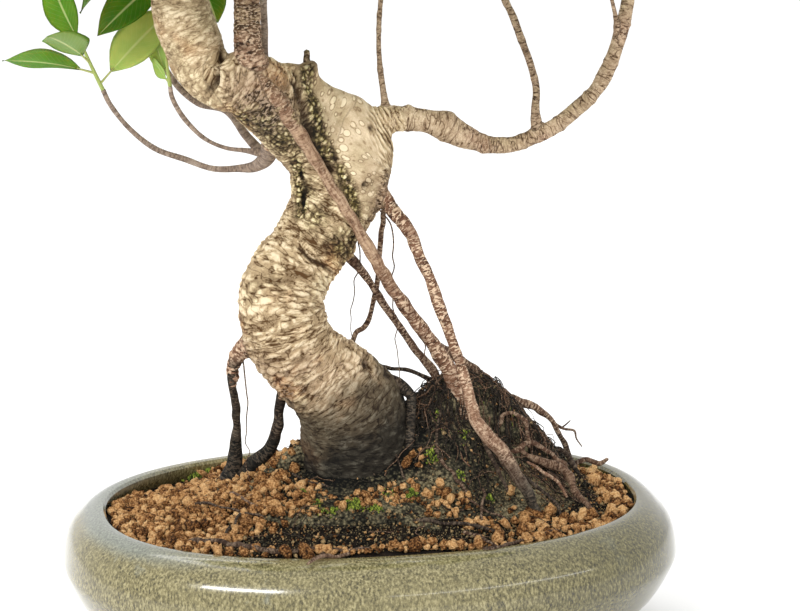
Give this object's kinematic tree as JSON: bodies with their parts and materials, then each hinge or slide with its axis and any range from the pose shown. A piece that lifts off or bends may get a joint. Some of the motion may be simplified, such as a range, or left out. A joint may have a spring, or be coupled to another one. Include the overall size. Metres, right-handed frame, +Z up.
{
  "type": "chinese banyan bonsai",
  "caption": "Small ficus tree with a winding trunk, hanging aerial roots and a leafy crown, growing in an oval glazed pot filled with akadama granules and dark soil.",
  "frame": {"origin": "centre of the pot's flat underside, where it rests on the floor or shelf", "axes": "+Z up, +X along the pot's long axis towards the long bare branch, -Y towards the front of the tree"},
  "size_m": [0.4264, 0.3329, 0.629],
  "materials": {
    "pot": "glossy olive glaze with a fine darker speckle",
    "drain_mesh": "matte",
    "akadama": "matte porous clay granules",
    "soil": "matte, damp and fibrous",
    "trunk_bark": "rough pale bark with lenticels",
    "branch_bark": "thin brown bark",
    "leaf": "glossy on top, matte below"
  },
  "bodies": {
    "root": {"pot": "pot", "drain_mesh_left": "drain_mesh", "drain_mesh_right": "drain_mesh", "akadama_bed": "akadama", "root_ball": "soil", "trunk": "trunk_bark", "branch_right": "branch_bark", "stem_front": "branch_bark", "shoot_back": "branch_bark", "branch_low_left": "branch_bark", "branch_left": "branch_bark", "branch_back": "branch_bark", "branch_top": "branch_bark", "spray_01": "leaf", "spray_02": "leaf", "spray_03": "leaf", "spray_04": "leaf", "spray_05": "leaf", "spray_06": "leaf", "spray_07": "leaf", "spray_08": "leaf", "spray_09": "leaf", "spray_10": "leaf", "spray_11": "leaf", "spray_12": "leaf", "spray_13": "leaf", "spray_14": "leaf", "spray_15": "leaf", "spray_16": "leaf", "spray_17": "leaf", "spray_18": "leaf", "spray_19": "leaf", "spray_20": "leaf", "spray_21": "leaf", "spray_22": "leaf", "spray_23": "leaf", "spray_24": "leaf", "spray_25": "leaf", "spray_26": "leaf", "spray_low_1": "leaf", "spray_low_2": "leaf", "spray_low_3": "leaf", "spray_low_4": "leaf"}
  },
  "joints": []
}
